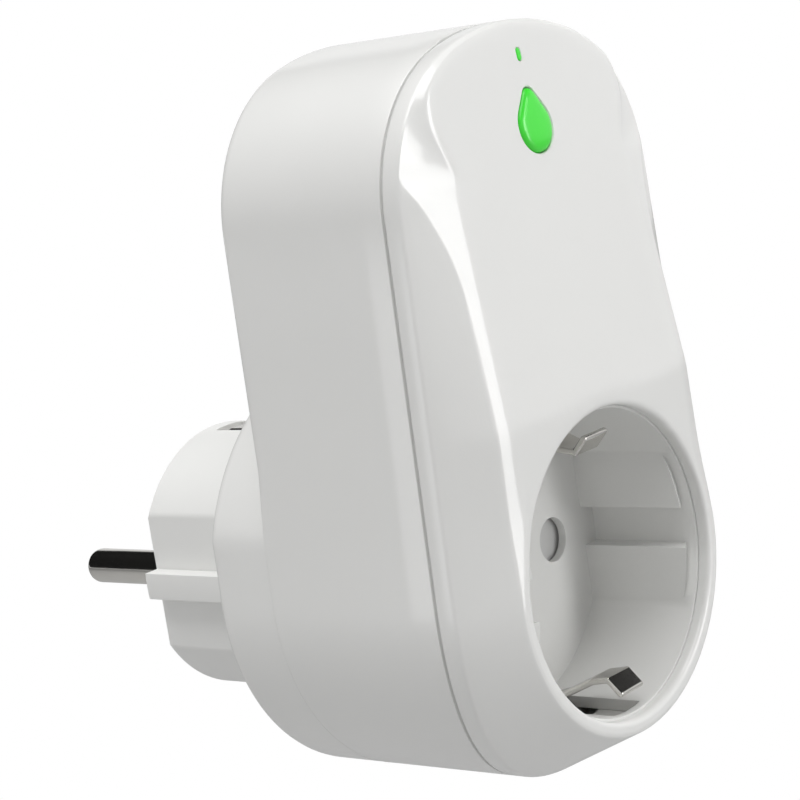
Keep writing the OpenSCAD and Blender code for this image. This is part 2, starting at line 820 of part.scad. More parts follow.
module fuse_resistor() {
    color("seagreen") on_power(-8.2, power_low_z + 3.2) {
        translate([-5.2, -2.6, 0]) rotate([0, 90, 0]) rotate_extrude() polygon([
            [0, 0], [1.6, 0], [1.9, 0.4], [1.9, 1.4], [1.6, 1.9],
            [1.6, 7.6], [1.9, 8.1], [1.9, 9.1], [1.6, 9.5], [0, 9.5]]);
        for (s = [-1, 1]) block([-0.45 + s * 4.4 - 0.35, -2.6, -0.35], [-0.45 + s * 4.4 + 0.35, 0, 0.35]);
    }
}

module choke() {
    color("saddlebrown") on_power(-6.4, power_low_z + 10.2) rotate([90, 0, 0]) rotate_extrude() polygon([
        [0, 0], [4, 0], [4, 1.2], [2.9, 1.7], [2.9, 7.3], [4, 7.8], [4, 9], [0, 9]]);
}

module current_shunt() {
    color("goldenrod") on_power(-5.5, power_low_z + 35.5) {
        block([-5, -3, -1.5], [5, -2.4, 1.5]);
        for (s = [-1, 1]) block([s * 5 - 0.3, -3, -1.5], [s * 5 + 0.3, 0, 1.5]);
    }
}

// Small outline chip with its legs
module chip(w, h, legs) {
    color("black") block([-w / 2, -1.7, -h / 2], [w / 2, -0.15, h / 2]);
    color("silver") for (k = [0:legs - 1], s = [-1, 1]) {
        z = (k - (legs - 1) / 2) * 1.27;
        block([s * (w / 2 + 0.5) - 0.55, -0.9, z - 0.2], [s * (w / 2 + 0.5) + 0.55, -0.65, z + 0.2]);
        block([s * (w / 2 + 0.9) - 0.15, -0.9, z - 0.2], [s * (w / 2 + 0.9) + 0.15, 0, z + 0.2]);
    }
}

module metering_chip() {
    on_power(-5.5, power_low_z + 28.5) chip(4, 10, 8);
}

module supply_chip() {
    on_power(-5.5, power_low_z + 20.5) chip(4, 5, 4);
}

module thermal_fuse() {
    color("ivory") on_power(7.5, power_low_z + 34.6) {
        translate([-3.6, -2.2, 0]) rotate([0, 90, 0]) cylinder(r = 1.6, h = 7.2, $fn = 48);
        for (s = [-1, 1]) block([s * 3.2 - 0.3, -2.2, -0.3], [s * 3.2 + 0.3, 0, 0.3]);
    }
}

// ---- screws ----

module pan_screw(r, head_r, len, head_t) {
    difference() {
        union() {
            cylinder(r = r, h = len, $fn = small_fn);
            translate([0, 0, -head_t]) cylinder(r = head_r, h = head_t, $fn = 48);
        }
        for (a = [0, 90]) rotate(a) translate([0, 0, -head_t])
            cube([head_r * 1.3, 0.6, 1.2], center = true);
    }
}

module plug_screws() {
    screw_len = plug_flange_t + wall - 0.4;
    color("silver") for (s = [-1, 1]) translate([s * screw_x, plug_back_y - 0.02, 0])
        rotate([-90, 0, 0]) pan_screw(0.93, 2.2, screw_len, 1.4);
}

module board_screws() {
    color("silver") for (s = [-1, 1]) on_panel(board_screw_z)
        translate([s * board_screw_x, board_face + 0.02, 0])
            rotate([90, 0, 0]) pan_screw(0.83, 1.9, 4.6, 1.2);
}

rear_shell();
front_cover();
plug_body();
live_pin();
neutral_pin();
upper_earth_strap();
lower_earth_strap();
earth_link();
socket_cup();
shutter();
shutter_spring();
contact_carrier();
live_contact();
neutral_contact();
live_bar();
load_bar();
neutral_bar();
neutral_tap();
button();
switch_plunger();
tactile_switch();
indicator_light_guide();
indicator_led();
button_led();
control_board();
radio_module();
radio_shield();
small_chips();
board_header();
power_board();
relay();
filter_capacitor();
supply_capacitors();
varistor();
fuse_resistor();
choke();
current_shunt();
metering_chip();
supply_chip();
thermal_fuse();
plug_screws();
board_screws();
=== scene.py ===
import json
import math

import bmesh
import bpy
from mathutils import Matrix, Vector


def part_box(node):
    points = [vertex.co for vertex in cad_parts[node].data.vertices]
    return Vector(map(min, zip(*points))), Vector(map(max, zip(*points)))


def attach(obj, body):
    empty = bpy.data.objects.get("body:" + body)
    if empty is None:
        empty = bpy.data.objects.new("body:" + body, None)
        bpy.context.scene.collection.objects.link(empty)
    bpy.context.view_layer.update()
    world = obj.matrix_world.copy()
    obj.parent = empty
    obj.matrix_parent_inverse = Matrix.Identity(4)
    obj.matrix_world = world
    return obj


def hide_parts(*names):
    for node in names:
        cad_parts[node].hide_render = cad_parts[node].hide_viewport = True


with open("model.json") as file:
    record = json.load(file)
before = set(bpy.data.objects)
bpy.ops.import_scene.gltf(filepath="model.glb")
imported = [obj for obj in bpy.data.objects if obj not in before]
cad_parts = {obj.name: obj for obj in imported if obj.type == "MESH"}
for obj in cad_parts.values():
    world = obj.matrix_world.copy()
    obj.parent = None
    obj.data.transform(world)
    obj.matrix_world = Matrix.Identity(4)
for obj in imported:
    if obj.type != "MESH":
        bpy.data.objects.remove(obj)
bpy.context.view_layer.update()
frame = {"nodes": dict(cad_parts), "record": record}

MM = 0.001

# ---------------------------------------------------------------- sizes, in millimetres

SHELL_LOW, SHELL_HIGH = (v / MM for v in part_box("rear_shell"))
PIN_LOW, PIN_HIGH = (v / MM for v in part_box("live_pin"))

LOWER_R = SHELL_HIGH.x          # round lower end, about the plug's axis
TOP_Z = SHELL_HIGH.z
UPPER_HALF_W = 25.5             # half width at the upper corners
CORNER_R = 20.0
TOP_ARC_R = 38.5
WALL = 2.0
BOSS_Y = SHELL_HIGH.y
BACK_Y = BOSS_Y - 9.6           # the upper body's back
BOSS_R = 28.3
SEAM_Y = SHELL_LOW.y
SEAM_BOW_R = 60.0               # the seam bows back below the axis
BAND_Y = SEAM_Y - 2.4           # front edge of the cover's side band
RIM_Y = (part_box("front_cover")[0] / MM).y   # plane of the socket's rim
CUP_R = (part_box("socket_cup")[1] / MM).x
RECESS_R = CUP_R - 1.2
GROOVE_W = 0.35
GROOVE_D = 0.4
PANEL_LEAN = math.radians(6.6)
BEVEL_LOW = 6.2                 # bevel width beside the socket
BEVEL_HIGH = 8.2                # bevel width above it
BEVEL_SPREAD = 12.0             # height over which it widens
BEVEL_LEAST = 0.6
BEVEL_END_Z = 52.0
BEVEL_FADE = 10.0
CREASE_IN = 5.7                 # the bevel's crease, in from the side
CREASE_LEAST = 0.25
CREASE_FADE = 16.0
CREASE_BLEND = 2.5
FACET_SLOPE = math.tan(math.radians(15.5))
MOUTH_DEPTH = 1.6
NOTCH_W = 20.0                  # prying notch at the top of the seam
MIDDLE_IN = 9.8                 # a helping ring on the panel, far enough in to be round
PLUG_R = 18.2
PLUG_FIT = 0.15                 # clearance round the plug in the boss
PIN_R = 2.4
SHARP_ANGLE = 35                # degrees; edges sharper than this are rounded on carried-over pieces
PIN_PITCH = 19.0
BUTTON_Z = 55.0
BUTTON_W = 6.5
BUTTON_H = 7.9
SLIT_RISE = 8.0
SLIT_W = 0.8
SLIT_H = 1.6

CORNER_X = UPPER_HALF_W - CORNER_R
TOP_C = TOP_Z - TOP_ARC_R
CORNER_Z = TOP_C + math.sqrt((TOP_ARC_R - CORNER_R) ** 2 - CORNER_X ** 2)
SIDE_A = math.atan2(CORNER_Z, CORNER_X) - math.acos((LOWER_R - CORNER_R) / math.hypot(CORNER_X, CORNER_Z))
TOP_A = math.atan2(CORNER_Z - TOP_C, CORNER_X)


# ---------------------------------------------------------------- shape helpers

def smooth(t):
    """Eases from 0 to 1, flat outside."""
    t = min(1.0, max(0.0, t))
    return t * t * (3 - 2 * t)


def panel_y(z):
    """Depth of the leaning panel at a height."""
    return RIM_Y + math.tan(PANEL_LEAN) * (z - CUP_R)


def front_y(z):
    """The front surface: the leaning panel above the socket, the rim's plane beside it."""
    return max(RIM_Y, panel_y(z))


def seam_bow(z):
    """How far the seam bows back below the plug's axis."""
    return 0.0 if z >= 0 else SEAM_BOW_R - math.sqrt(SEAM_BOW_R ** 2 - z * z)


def bevel(z):
    """Width of the whole bevel, which runs out towards the top."""
    span = BEVEL_LOW + (BEVEL_HIGH - BEVEL_LOW) * smooth(z / BEVEL_SPREAD)
    return BEVEL_LEAST + (span - BEVEL_LEAST) * (1 - smooth((z - BEVEL_END_Z) / BEVEL_FADE))


def crease(z):
    """Width of the bevel's outer facet, which runs out to the side higher up."""
    t = max(0.0, z - BEVEL_END_Z + CREASE_FADE) / CREASE_FADE
    return max(CREASE_LEAST, CREASE_IN * (1 - t * t))


def facet_slope(z, rise):
    """Slope of the bevel's inner facet, which is the whole bevel at its upper end."""
    share = smooth((z - BEVEL_END_Z) / CREASE_BLEND + 1)
    return FACET_SLOPE + share * (rise / bevel(z) - FACET_SLOPE)


def room_to_circle(x, z, nx, nz, r):
    """Distance in from an outline point, along its normal, to a circle about the axis; far if it misses."""
    ahead = x * nx + z * nz
    inside = r * r - (x * x + z * z - ahead * ahead)
    return ahead - math.sqrt(inside) if inside > 0 else 100.0


def arc_points(cx, cz, r, a0, a1, n):
    """An arc of the outline as (x, z, normal x, normal z), without its last point."""
    angles = [a0 + (a1 - a0) * k / n for k in range(n)]
    return [(cx + r * math.cos(a), cz + r * math.sin(a), math.cos(a), math.sin(a)) for a in angles]


def side_points(sign, up, n):
    """A straight side of the outline, tangent to the arcs above and below it."""
    low = Vector((LOWER_R * math.cos(SIDE_A), LOWER_R * math.sin(SIDE_A)))
    high = Vector((CORNER_X + CORNER_R * math.cos(SIDE_A), CORNER_Z + CORNER_R * math.sin(SIDE_A)))
    start, end = (low, high) if up else (high, low)
    line = [start.lerp(end, k / n) for k in range(n)]
    return [(sign * p.x, p.y, sign * math.cos(SIDE_A), math.sin(SIDE_A)) for p in line]


def outline_points():
    """Once round the housing's front view as (x, z, normal x, normal z)."""
    turn = math.pi
    return (arc_points(0, 0, LOWER_R, turn - SIDE_A, 2 * turn + SIDE_A, 120)
            + side_points(1, True, 40)
            + arc_points(CORNER_X, CORNER_Z, CORNER_R, SIDE_A, TOP_A, 40)
            + arc_points(0, TOP_C, TOP_ARC_R, TOP_A, turn - TOP_A, 30)
            + arc_points(-CORNER_X, CORNER_Z, CORNER_R, turn - TOP_A, turn - SIDE_A, 40)
            + side_points(-1, False, 40))


OUTLINE = outline_points()


def inset_ring(depth, y_of):
    """A ring inside the outline; depth and y_of are numbers or functions of height."""
    ring = []
    for x, z, nx, nz in OUTLINE:
        d = depth(z) if callable(depth) else depth
        y = y_of(z) if callable(y_of) else y_of
        ring.append(Vector((x - d * nx, y, z - d * nz)))
    return ring


def ray_ring(radius_of, y_of, guide=None):
    """A ring at a given distance from the plug's axis, on the rays through a guide ring or the outline."""
    ring = []
    for x, z in [(p.x, p.z) for p in guide] if guide else [(p[0], p[1]) for p in OUTLINE]:
        rho = math.hypot(x, z)
        r = radius_of(rho, z) if callable(radius_of) else radius_of
        y = y_of(rho, z) if callable(y_of) else y_of
        ring.append(Vector((x / rho * r, y, z / rho * r)))
    return ring


def bezier_rings(a, c, b, n):
    """Rings that round the corner ring c between rings a and b."""
    rings = []
    for k in range(n + 1):
        t = k / n
        rings.append([p * (1 - t) ** 2 + q * 2 * t * (1 - t) + r * t * t for p, q, r in zip(a, c, b)])
    return rings


def between(a, b, t):
    """The ring a share of the way from one ring to another."""
    return [p.lerp(q, t) for p, q in zip(a, b)]


def new_piece(name, bm, smooth_faces=True):
    """Turns a bmesh in millimetres into an object in metres with outward faces."""
    bmesh.ops.remove_doubles(bm, verts=bm.verts, dist=1e-5)
    bmesh.ops.recalc_face_normals(bm, faces=bm.faces)
    bmesh.ops.scale(bm, vec=(MM, MM, MM), verts=bm.verts)
    mesh = bpy.data.meshes.new(name)
    bm.to_mesh(mesh)
    bm.free()
    if smooth_faces:
        mesh.shade_smooth()
    piece = bpy.data.objects.new(name, mesh)
    bpy.context.scene.collection.objects.link(piece)
    return piece


def ring_mesh(rings, closed_tube=False):
    """Joins rings of equal length with quads, into a closed tube or a solid with capped ends."""
    bm = bmesh.new()
    rows = [[bm.verts.new(p) for p in ring] for ring in rings]
    n = len(rows[0])
    pairs = list(zip(rows, rows[1:])) + ([(rows[-1], rows[0])] if closed_tube else [])
    for low, high in pairs:
        for k in range(n):
            bm.faces.new((low[k], low[(k + 1) % n], high[(k + 1) % n], high[k]))
    if not closed_tube:
        bm.faces.new(list(reversed(rows[0])))
        bm.faces.new(rows[-1])
    return bm


def apply_modifiers(piece):
    """Bakes a piece's modifiers into its mesh."""
    graph = bpy.context.evaluated_depsgraph_get()
    mesh = bpy.data.meshes.new_from_object(piece.evaluated_get(graph))
    piece.modifiers.clear()
    piece.data = mesh
    return piece


def cut(piece, cutter_bm):
    """Takes a closed cutter, in millimetres, out of a piece."""
    cutter = new_piece("cutter", cutter_bm, False)
    mod = piece.modifiers.new("cut", "BOOLEAN")
    mod.operation = "DIFFERENCE"
    mod.solver = "EXACT"
    mod.object = cutter
    apply_modifiers(piece)
    bpy.data.objects.remove(cutter)
    return piece


def round_edges(piece, width):
    """Gives the sharp edges of a piece a small radius."""
    mod = piece.modifiers.new("round", "BEVEL")
    mod.width = width * MM
    mod.segments = 3
    mod.limit_method = "ANGLE"
    mod.angle_limit = math.radians(SHARP_ANGLE)
    mod.harden_normals = True
    return apply_modifiers(piece)


def smooth_by_angle(piece, angle):
    """Smooth shading that keeps edges sharper than an angle crisp."""
    piece.data.shade_smooth()
    piece.data.set_sharp_from_angle(angle=math.radians(angle))
    return piece


def from_cad(node_name, width):
    """A copy of a CAD node with its doubles merged, flat faces joined and edges rounded."""
    mesh = frame["nodes"][node_name].data.copy()
    mesh.materials.clear()
    bm = bmesh.new()
    bm.from_mesh(mesh)
    bmesh.ops.remove_doubles(bm, verts=bm.verts, dist=2e-6)
    bmesh.ops.dissolve_limit(bm, angle_limit=math.radians(1), verts=bm.verts, edges=bm.edges)
    bm.to_mesh(mesh)
    bm.free()
    piece = bpy.data.objects.new(node_name + "_finished", mesh)
    bpy.context.scene.collection.objects.link(piece)
    smooth_by_angle(round_edges(piece, width), SHARP_ANGLE)
    even = piece.modifiers.new("even_normals", "WEIGHTED_NORMAL")
    even.keep_sharp = True
    return apply_modifiers(piece)


def put(piece, body, slot, material, *nodes):
    """Gives a finished piece its body and material, and hides the CAD nodes that it stands for. The slot is
    not used.
    """
    piece.data.materials.clear()
    piece.data.materials.append(material)
    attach(piece, body)
    if nodes:
        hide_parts(*nodes)
    return piece


# ---------------------------------------------------------------- materials

def colour(hex_code):
    """An sRGB hex colour as linear RGBA."""
    parts = [int(hex_code[k:k + 2], 16) / 255 for k in (0, 2, 4)]
    return tuple(c / 12.92 if c <= 0.04045 else ((c + 0.055) / 1.055) ** 2.4 for c in parts) + (1.0,)


def add_node(tree, kind, settings=None, links=None):
    """Adds one node; settings are its properties or input values, links its inputs' sources."""
    made = tree.nodes.new(kind)
    for key, value in (settings or {}).items():
        if key in made.inputs:
            made.inputs[key].default_value = value
        else:
            setattr(made, key, value)
    for key, source in (links or {}).items():
        tree.links.new(source, made.inputs[key])
    return made


def start_material(name):
    """An empty material with its tree and Object coordinates."""
    material = bpy.data.materials.new(name)
    material.use_nodes = True
    tree = material.node_tree
    tree.nodes.clear()
    coords = add_node(tree, "ShaderNodeTexCoord").outputs["Object"]
    return material, tree, coords


def finish_material(tree, settings, links):
    """Adds the shader and the output."""
    shader = add_node(tree, "ShaderNodeBsdfPrincipled", settings, links)
    add_node(tree, "ShaderNodeOutputMaterial", {}, {"Surface": shader.outputs[0]})


def moulded_plastic(name, dark, light, roughness, grain_mm=0.25, grain=0.02, coat=0.0):
    """Injection moulded plastic: a faint mould grain, a slow drift of tone and a soft gloss."""
    material, tree, coords = start_material(name)
    drift = add_node(tree, "ShaderNodeTexNoise", {"Scale": 1 / (18 * MM), "Detail": 2.0}, {"Vector": coords})
    fine = add_node(tree, "ShaderNodeTexNoise",
                    {"Scale": 1 / (grain_mm * MM), "Detail": 3.0, "Roughness": 0.6}, {"Vector": coords})
    tone = add_node(tree, "ShaderNodeMix", {"data_type": "RGBA"}, {"Factor": drift.outputs["Fac"]})
    tone.inputs[6].default_value = colour(dark)
    tone.inputs[7].default_value = colour(light)
    rough = add_node(tree, "ShaderNodeMapRange", {"To Min": roughness - 0.04, "To Max": roughness + 0.04},
                     {"Value": fine.outputs["Fac"]})
    bump = add_node(tree, "ShaderNodeBump", {"Strength": 0.35, "Distance": grain * MM},
                    {"Height": fine.outputs["Fac"]})
    finish_material(tree, {"IOR": 1.5, "Coat Weight": coat, "Coat Roughness": 0.1},
                    {"Base Color": tone.outputs[2], "Roughness": rough.outputs[0], "Normal": bump.outputs[0]})
    return material


def plated_metal(name, dark, light, roughness, scratch_mm=0.12):
    """Plated or rolled metal: fine drawing lines along Y, slightly uneven gloss and tone."""
    material, tree, coords = start_material(name)
    stretch = add_node(tree, "ShaderNodeMapping", {"Scale": (1.0, 0.06, 1.0)}, {"Vector": coords})
    lines = add_node(tree, "ShaderNodeTexNoise", {"Scale": 1 / (scratch_mm * MM), "Detail": 4.0},
                     {"Vector": stretch.outputs[0]})
    cloud = add_node(tree, "ShaderNodeTexNoise", {"Scale": 1 / (5 * MM), "Detail": 3.0}, {"Vector": coords})
    tone = add_node(tree, "ShaderNodeMix", {"data_type": "RGBA"}, {"Factor": cloud.outputs["Fac"]})
    tone.inputs[6].default_value = colour(dark)
    tone.inputs[7].default_value = colour(light)
    rough = add_node(tree, "ShaderNodeMapRange", {"To Min": roughness * 0.7, "To Max": roughness * 1.4},
                     {"Value": lines.outputs["Fac"]})
    bump = add_node(tree, "ShaderNodeBump", {"Strength": 0.15, "Distance": 0.01 * MM},
                    {"Height": lines.outputs["Fac"]})
    finish_material(tree, {"Metallic": 1.0}, {"Base Color": tone.outputs[2], "Roughness": rough.outputs[0],
                                              "Normal": bump.outputs[0]})
    return material


MATERIALS = {
    # ABS with a satin moulding gloss: near white, with a broad soft highlight
    "housing_white": moulded_plastic("satin_abs_housing", "E3E3E1", "E7E7E5", 0.4, coat=0.6),
    # PBT: the same white, a little duller than the housing
    "plug_white": moulded_plastic("satin_pbt_plug", "E2E2E0", "E7E7E5", 0.4, coat=0.2),
    # PBT: a duller white that shades softly inside the recess
    "socket_white": moulded_plastic("satin_pbt_socket", "E3E3E1", "E8E8E6", 0.4, coat=0.2),
    # nickel plated brass: bright, almost mirror-like, with faint turning lines
    "pin_plating": plated_metal("nickel_plated_brass", "D6D4CF", "E6E4DF", 0.12),
    # nickel plated strip: pale metal with a slightly soft reflection
    "clip_metal": plated_metal("nickel_plated_spring_strip", "CCCAC5", "DEDCD8", 0.18),
    # bronze strip: warm copper brown, seen through the pin holes
    "copper_alloy": plated_metal("stamped_bronze_strip", "B0703F", "C98A55", 0.3),
    # matt polycarbonate: a light grey that closes the pin holes
    "shutter_grey": moulded_plastic("matt_polycarbonate_shutter", "C9C9C8", "CFCFCE", 0.5),
    # matt thermoset: plain mid grey behind the socket
    "carrier_grey": moulded_plastic("matt_thermoset_carrier", "9C9D9E", "A6A7A8", 0.6),
    # tinted translucent plastic: strong fresh green with a glossy shoulder
    "button_green": moulded_plastic("translucent_green_button", "36E02E", "46EC3C", 0.35, coat=0.3),
    # clear epoxy: pale green and glossy
    "led_lens": moulded_plastic("clear_epoxy_led", "BFF0BF", "D8FFD8", 0.15, coat=0.4),
    # nylon: dull black
    "switch_black": moulded_plastic("black_nylon", "161617", "1E1E20", 0.5),
    # solder mask: dark green with a lacquer gloss
    "board_green": moulded_plastic("green_solder_mask", "0C4A26", "12602F", 0.3, grain_mm=0.6, coat=0.3),
    # solder mask: dark blue with a lacquer gloss
    "module_blue": moulded_plastic("blue_solder_mask", "10203F", "152A52", 0.3, grain_mm=0.6, coat=0.3),
    # tinned steel: dull grey metal
    "shield_metal": plated_metal("tinned_steel_shield", "9C9C9C", "B8B8B8", 0.35),
    # moulding compound: flat black
    "chip_black": moulded_plastic("epoxy_moulding_compound", "141416", "1C1C1E", 0.6),
    # PBT case: even blue
    "relay_case": moulded_plastic("blue_pbt_relay_case", "184A8E", "1D56A2", 0.45),
    # plastic box: warm yellow
    "film_capacitor_yellow": moulded_plastic("yellow_plastic_box", "D9A41C", "E3B02A", 0.4),
    # shrink sleeve: dark blue with a slight sheen
    "capacitor_sleeve": moulded_plastic("shrink_sleeve", "1A1E38", "222746", 0.35, coat=0.2),
    # dipped epoxy: blue with an uneven, pebbly skin
    "varistor_blue": moulded_plastic("blue_epoxy_dip", "1A4A96", "2158A8", 0.4, grain_mm=0.9, grain=0.08),
    # cement coating: dry green with a fine grain
    "resistor_green": moulded_plastic("cement_coated_resistor", "2D6A44", "35784E", 0.6,
                                      grain_mm=0.5, grain=0.05),
    # ferrite and copper winding: dark brown and grainy
    "choke_ferrite": moulded_plastic("ferrite_and_copper_winding", "2A2320", "3A2F2A", 0.5,
                                     grain_mm=0.4, grain=0.06),
    # ceramic tube: warm white
    "fuse_ceramic": moulded_plastic("white_ceramic_tube", "E6E2D8", "EFEBE2", 0.35),
    # zinc plated steel: cool grey metal
    "screw_steel": plated_metal("zinc_plated_steel", "8F9296", "A9ACB0", 0.35),
}


# ---------------------------------------------------------------- housing

def shell_rings():
    """The rear shell as a closed tube of rings: seam lip, wall, back, boss, plug hole and inside."""
    fillet = 1.6
    root = 1.0

    def boss_rho(rho):
        return min(rho, BOSS_R)

    def soft(rho, most):
        return min(most, max(0.02, (rho - boss_rho(rho)) * 0.45))

    notch_foot = TOP_C + math.sqrt(TOP_ARC_R ** 2 - (NOTCH_W / 2) ** 2)

    def notch(z):
        return smooth((z - notch_foot) / 0.1 + 0.5)

    def groove_y(z):
        return SEAM_Y + GROOVE_W + 0.5 * notch(z) + seam_bow(z)

    def groove_in(z):
        return GROOVE_D + (WALL - 0.02 - GROOVE_D) * notch(z)

    def lip_y(z):
        return SEAM_Y + (GROOVE_W + 0.48) * notch(z) + seam_bow(z)

    lip = 0.15
    rings = [
        inset_ring(WALL, lambda z: SEAM_Y + 2 + seam_bow(z)),
        inset_ring(WALL, lip_y),
        inset_ring(groove_in, lip_y),
        inset_ring(groove_in, groove_y),
    ]
    rings += bezier_rings(inset_ring(lip, groove_y), inset_ring(0, groove_y),
                          inset_ring(0, lambda z: groove_y(z) + lip), 3)
    front = rings[-1]
    wall_back = ray_ring(lambda rho, z: rho, lambda rho, z: BACK_Y - soft(rho, fillet))
    rings += [between(front, wall_back, t) for t in (0.15, 0.4, 0.7)]
    rings += bezier_rings(wall_back,
                          ray_ring(lambda rho, z: rho, BACK_Y),
                          ray_ring(lambda rho, z: rho - soft(rho, fillet), BACK_Y), 6)
    outer_back = rings[-1]
    root_back = ray_ring(lambda rho, z: boss_rho(rho) + soft(rho, root), BACK_Y)
    rings += [between(outer_back, root_back, t) for t in (0.25, 0.5, 0.75)]
    rings += bezier_rings(root_back,
                          ray_ring(lambda rho, z: boss_rho(rho), BACK_Y),
                          ray_ring(lambda rho, z: boss_rho(rho), lambda rho, z: BACK_Y + soft(rho, root)), 5)
    boss_back = ray_ring(lambda rho, z: boss_rho(rho), BOSS_Y - fillet)
    rings += [between(rings[-1], boss_back, t) for t in (0.3, 0.65)]
    rings += bezier_rings(boss_back,
                          ray_ring(lambda rho, z: boss_rho(rho), BOSS_Y),
                          ray_ring(lambda rho, z: boss_rho(rho) - fillet, BOSS_Y), 6)
    hole = PLUG_R + PLUG_FIT
    rings += bezier_rings(ray_ring(hole + 0.3, BOSS_Y), ray_ring(hole, BOSS_Y),
                          ray_ring(hole, BOSS_Y - 0.3), 3)
    rings += [
        ray_ring(hole, BOSS_Y - WALL),
        ray_ring(lambda rho, z: boss_rho(rho) - WALL, BOSS_Y - WALL),
        ray_ring(lambda rho, z: boss_rho(rho) - WALL, BACK_Y - WALL),
        ray_ring(lambda rho, z: rho - WALL, BACK_Y - WALL - 0.05),
    ]
    return rings


def make_shell():
    """The rear shell with its seam groove, prying notch and boss."""
    return new_piece("housing_shell", ring_mesh(shell_rings(), closed_tube=True))


def cover_rings():
    """The front cover as a closed tube of rings: seam edge, band, creased bevel, panel, mouth and inside."""
    edge = 0.25
    lip = 0.9
    back_hole = CUP_R + 0.05
    rings = [
        inset_ring(WALL, lambda z: SEAM_Y - 1.5 + seam_bow(z)),
        inset_ring(WALL, lambda z: SEAM_Y + seam_bow(z)),
    ]
    rings += bezier_rings(inset_ring(edge, lambda z: SEAM_Y + seam_bow(z)),
                          inset_ring(0, lambda z: SEAM_Y + seam_bow(z)),
                          inset_ring(0, lambda z: SEAM_Y - edge + seam_bow(z)), 3)
    band = inset_ring(0, lambda z: BAND_Y + seam_bow(z))

    def on_front(ring):
        return [Vector((p.x, front_y(p.z), p.z)) for p in ring]

    def along(start, end, reach, share):
        """Points from one ring towards another, by a length but never past a share of the way."""
        return [a.lerp(b, min(reach, share * (b - a).length) / (b - a).length) for a, b in zip(start, end)]

    corner = on_front(inset_ring(bevel, 0))
    fold, inner, middle = [], [], []
    for (x, z, nx, nz), c, b in zip(OUTLINE, corner, band):
        width, outer = bevel(z), crease(z)
        slope = facet_slope(z, b.y - c.y)
        fold.append(Vector((x - outer * nx, c.y + slope * (width - outer), z - outer * nz)))
        room = room_to_circle(x, z, nx, nz, RECESS_R + lip) - width
        near = width + max(0.25, min(1.6, 0.3 * room))
        far = max(near + 0.15, min(MIDDLE_IN, width + 0.6 * room))
        for ring, depth in ((inner, near), (middle, far)):
            ring.append(Vector((x - depth * nx, 0, z - depth * nz)))
    inner, middle = on_front(inner), on_front(middle)

    band_side = inset_ring(0, lambda z: BAND_Y + 0.5 + seam_bow(z))
    rings += bezier_rings(band_side, band, along(band, fold, 0.5, 0.45), 4)
    fold_out = along(fold, band, 0.4, 0.4)
    rings += [between(rings[-1], fold_out, t) for t in (0.3, 0.65)]
    rings += bezier_rings(fold_out, fold, along(fold, corner, 0.4, 0.3), 4)
    corner_out = along(corner, fold, 1.0, 0.45)
    rings += [between(rings[-1], corner_out, 0.5)]
    rings += bezier_rings(corner_out, corner, inner, 7)
    rings += [on_front(between(inner, middle, k / 6)) for k in range(1, 7)]
    lip_start = on_front(ray_ring(lambda rho, z: RECESS_R + min(lip, 0.8 * (rho - RECESS_R)), 0, middle))
    rings += [on_front(between(middle, lip_start, k / 22)) for k in range(1, 22)]
    rim = on_front(ray_ring(RECESS_R, 0, middle))
    rings += bezier_rings(lip_start, rim, [Vector((p.x, p.y + lip, p.z)) for p in rim], 7)
    rings += [
        ray_ring(RECESS_R, RIM_Y + MOUTH_DEPTH, middle),
        ray_ring(back_hole, RIM_Y + MOUTH_DEPTH, middle),
        ray_ring(back_hole, SEAM_Y + 1, middle),
        ray_ring(back_hole + 1.5, SEAM_Y + 1, middle),
        ray_ring(back_hole + 1.5, RIM_Y + 3.2, middle),
    ]
    return rings


def egg_points(w, h, n=72):
    """Egg outline with its pointed end up, as (x, z) about its centre."""
    low_r, tip_r = w / 2, w / 5
    span = h - low_r - tip_r
    a = math.asin((low_r - tip_r) / span)
    base = low_r - h / 2
    lower = [(math.pi - a) + (math.pi + 2 * a) * k / (n // 2) for k in range(n // 2 + 1)]
    upper = [a + (math.pi - 2 * a) * k / (n // 2) for k in range(n // 2 + 1)]
    points = [(low_r * math.cos(t), base + low_r * math.sin(t)) for t in lower]
    return points + [(tip_r * math.cos(t), base + span + tip_r * math.sin(t)) for t in upper]


def slot_points(w, h, n=16):
    """Upright slot with round ends, as (x, z) about its centre."""
    half = (h - w) / 2
    angles = [math.pi * k / n for k in range(n + 1)]
    top = [(w / 2 * math.cos(a), half + w / 2 * math.sin(a)) for a in angles]
    return top + [(-x, -z) for x, z in top]


def on_panel(point, height):
    """A point of the panel's own frame (x, depth, up) in the row frame, in millimetres."""
    x, depth, up = point
    return Vector((x, panel_y(height) + depth * math.cos(PANEL_LEAN) + up * math.sin(PANEL_LEAN),
                   height - depth * math.sin(PANEL_LEAN) + up * math.cos(PANEL_LEAN)))


def panel_rings(outline_of, levels, height):
    """Rings square to the panel; levels are (outline scale in mm, depth)."""
    return [[on_panel((x, depth, z), height) for x, z in outline_of(grow)] for grow, depth in levels]


def make_cover():
    """The front cover with the button's pocket and the indicator's slit cut through."""
    cover = new_piece("cover_shell", ring_mesh(cover_rings(), closed_tube=True))
    pocket = panel_rings(lambda g: egg_points(BUTTON_W + g, BUTTON_H + g),
                         [(0.9, -1.0), (0.5, 0.0), (0.24, 0.15), (0.24, 4)], BUTTON_Z)
    cut(cover, ring_mesh(pocket))
    slit = panel_rings(lambda g: slot_points(SLIT_W + g, SLIT_H + g),
                       [(0.5, -1.0), (0.2, 0.0), (0.08, 0.1), (0.08, 4)], BUTTON_Z + SLIT_RISE)
    cut(cover, ring_mesh(slit))
    return smooth_by_angle(cover, 30)


put(make_shell(), "housing", "housing_white", MATERIALS["housing_white"], "rear_shell")
put(make_cover(), "housing", "housing_white", MATERIALS["housing_white"], "front_cover")


# ---------------------------------------------------------------- button and indicator

